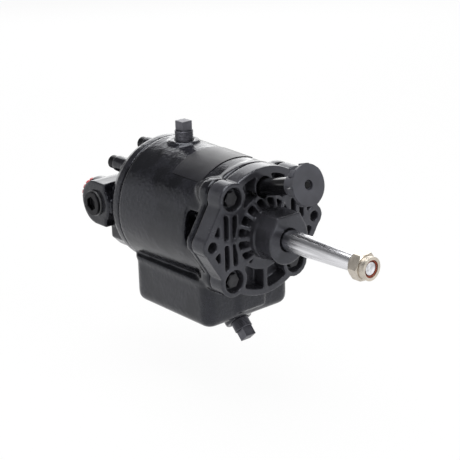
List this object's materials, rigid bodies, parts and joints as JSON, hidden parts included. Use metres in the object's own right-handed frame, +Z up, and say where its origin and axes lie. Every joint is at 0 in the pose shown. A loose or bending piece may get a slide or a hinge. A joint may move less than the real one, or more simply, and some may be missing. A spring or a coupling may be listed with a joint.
{
  "type": "boat steering helm",
  "caption": "Hydraulic boat steering helm: ribbed dash cover with tapered wheel shaft, black oil body with sump and plugs, screw-on filler cap, rear lock valve with capped hose ports.",
  "frame": {"origin": "on the steering shaft's axis, in the front face of the cover, which seats on the dash", "axes": "+Z up, -Y out of the dash toward the steering wheel, +X to the right seen from the wheel"},
  "size_m": [0.14, 0.3325, 0.1941],
  "materials": {
    "cover_paint": "satin black paint over a ribbed casting",
    "body_paint": "glossy black paint over a casting",
    "gasket": "dull black",
    "bolt_zinc": "zinc plated",
    "seal_rubber": "dull black",
    "bronze": "plain bearing bronze",
    "bright_steel": "polished stainless steel",
    "key_steel": "plain steel",
    "nut_zinc": "yellow zinc plated",
    "nylon": "red-brown nylon",
    "ground_steel": "ground steel",
    "spring_steel": "drawn spring wire",
    "label": "bare dark grey plate",
    "plug_black": "black oxide",
    "neck_black": "glossy black",
    "cap_black": "satin grey-black",
    "screw_dark": "dark socket screws",
    "end_plug_steel": "dark plated steel",
    "red_plastic": "red transport caps"
  },
  "bodies": {
    "housing": {"front_cover": "cover_paint", "front_gasket": "gasket", "front_bolts": "bolt_zinc", "shaft_seal": "seal_rubber", "front_bush": "bronze", "thrust_washer": "bronze", "swash_plate": "ground_steel", "fixed_race": "ground_steel", "port_plate": "ground_steel", "port_dowels": "key_steel", "rear_bush": "bronze", "body_casting": "body_paint", "label_plate": "label", "level_plug": "plug_black", "drain_plug": "plug_black", "fill_neck": "neck_black", "neck_seal": "seal_rubber", "rear_cover": "body_paint", "rear_gasket": "gasket", "rear_screws": "screw_dark", "check_seats": "bronze", "valve_end_plugs": "end_plug_steel", "plug_washers": "end_plug_steel", "left_check_spring": "spring_steel", "right_check_spring": "spring_steel"},
    "shaft": {"steering_shaft": "bright_steel", "wheel_key": "key_steel", "wheel_nut": "nut_zinc", "nut_insert": "nylon", "shaft_snap_ring": "key_steel", "pump_rotor": "ground_steel", "drive_pin": "key_steel", "piston_springs": "spring_steel"},
    "swash_race": {"turning_race": "ground_steel", "ball_pistons": "ground_steel"},
    "bearing_cage": {"ball_cage": "bronze", "cage_balls": "ground_steel"},
    "spool": {"lock_spool": "ground_steel"},
    "left_valve": {"left_check": "ground_steel"},
    "right_valve": {"right_check": "ground_steel"},
    "filler_seal": {"cap_seal": "seal_rubber"},
    "filler_cap": {"fill_cap": "cap_black", "cap_vent": "cap_black"},
    "left_cap": {"left_port_cap": "red_plastic"},
    "right_cap": {"right_port_cap": "red_plastic"}
  },
  "joints": [
    {"name": "steering_spin", "type": "hinge", "parent": "housing", "child": "shaft", "pos_m": [0, 0, 0], "axis": [0, 1, 0], "continuous": true, "deforming": ["piston_springs"]},
    {"name": "swash_race_spin", "type": "hinge", "parent": "housing", "child": "swash_race", "pos_m": [0, 0.0632, 0], "axis": [0, 0.9925, 0.1219], "continuous": true},
    {"name": "bearing_cage_spin", "type": "hinge", "parent": "housing", "child": "bearing_cage", "pos_m": [0, 0.0632, 0], "axis": [0, 0.9925, 0.1219], "continuous": true},
    {"name": "spool_slide", "type": "slide", "parent": "housing", "child": "spool", "axis": [1, 0, 0], "range_m": [-0.0018, 0.0018]},
    {"name": "left_check_slide", "type": "slide", "parent": "housing", "child": "left_valve", "axis": [-1, 0, 0], "range_m": [0, 0.0015], "stiffness_N_per_m": 600, "springref_m": -0.002, "deforming": ["left_check_spring"]},
    {"name": "right_check_slide", "type": "slide", "parent": "housing", "child": "right_valve", "axis": [1, 0, 0], "range_m": [0, 0.0015], "stiffness_N_per_m": 600, "springref_m": -0.002, "deforming": ["right_check_spring"]},
    {"name": "cap_lift", "type": "slide", "parent": "housing", "child": "filler_seal", "axis": [0, -0.9686, 0.2487], "range_m": [0, 0.01]},
    {"name": "cap_turn", "type": "hinge", "parent": "filler_seal", "child": "filler_cap", "pos_m": [0, 0.0105, 0.0382], "axis": [0, -0.9686, 0.2487], "range_deg": [0, 900]},
    {"name": "left_cap_pull", "type": "slide", "parent": "housing", "child": "left_cap", "axis": [0, 1, 0], "range_m": [0, 0.014]},
    {"name": "right_cap_pull", "type": "slide", "parent": "housing", "child": "right_cap", "axis": [0, 1, 0], "range_m": [0, 0.014]}
  ],
  "couplings": [
    {"joint": "swash_race_spin", "follows": "steering_spin", "ratio": 1},
    {"joint": "bearing_cage_spin", "follows": "steering_spin", "ratio": 0.5},
    {"joint": "cap_turn", "follows": "cap_lift", "rad_per_m": 1570.8}
  ]
}
